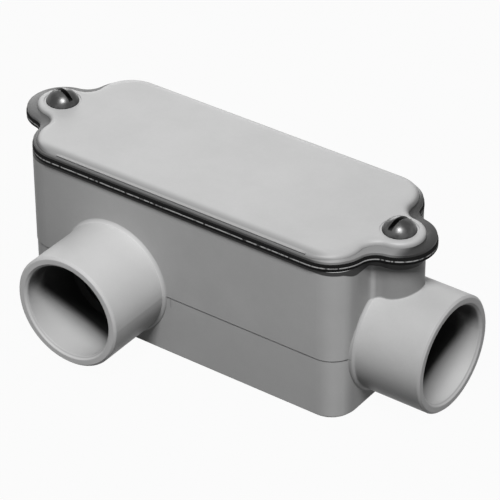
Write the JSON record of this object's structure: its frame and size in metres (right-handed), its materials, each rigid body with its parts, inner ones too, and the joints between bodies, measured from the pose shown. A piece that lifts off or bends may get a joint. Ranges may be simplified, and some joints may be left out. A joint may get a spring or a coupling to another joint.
{
  "type": "conduit body",
  "caption": "Rectangular moulded conduit body with an end socket hub, a side socket hub and a gasketed cover held by a screw in a lug at each end.",
  "frame": {"origin": "centre of the flat back, opposite the cover", "axes": "+Z from the back to the cover; +X along the end hub, out of its mouth; -Y along the side hub, out of its mouth"},
  "size_m": [0.137, 0.0656, 0.0541],
  "materials": {
    "pvc_body": "satin moulded grey PVC",
    "pvc_cover": "satin moulded grey PVC",
    "gasket_rubber": "matt black rubber sheet",
    "screw_steel": "bright drawn steel"
  },
  "bodies": {
    "body": {"conduit_body": "pvc_body"},
    "cover": {"cover": "pvc_cover", "cover_gasket": "gasket_rubber"},
    "screw_left": {"cover_screw_left": "screw_steel"},
    "screw_right": {"cover_screw_right": "screw_steel"}
  },
  "joints": [
    {"name": "cover_lift", "type": "slide", "parent": "body", "child": "cover", "axis": [0, 0, 1], "range_m": [0, 0.04]},
    {"name": "screw_left_turn", "type": "hinge", "parent": "cover", "child": "screw_left", "pos_m": [-0.0547, 0, 0.0506], "axis": [0, 0, 1], "continuous": true},
    {"name": "screw_right_turn", "type": "hinge", "parent": "cover", "child": "screw_right", "pos_m": [0.0547, 0, 0.0506], "axis": [0, 0, 1], "continuous": true}
  ]
}
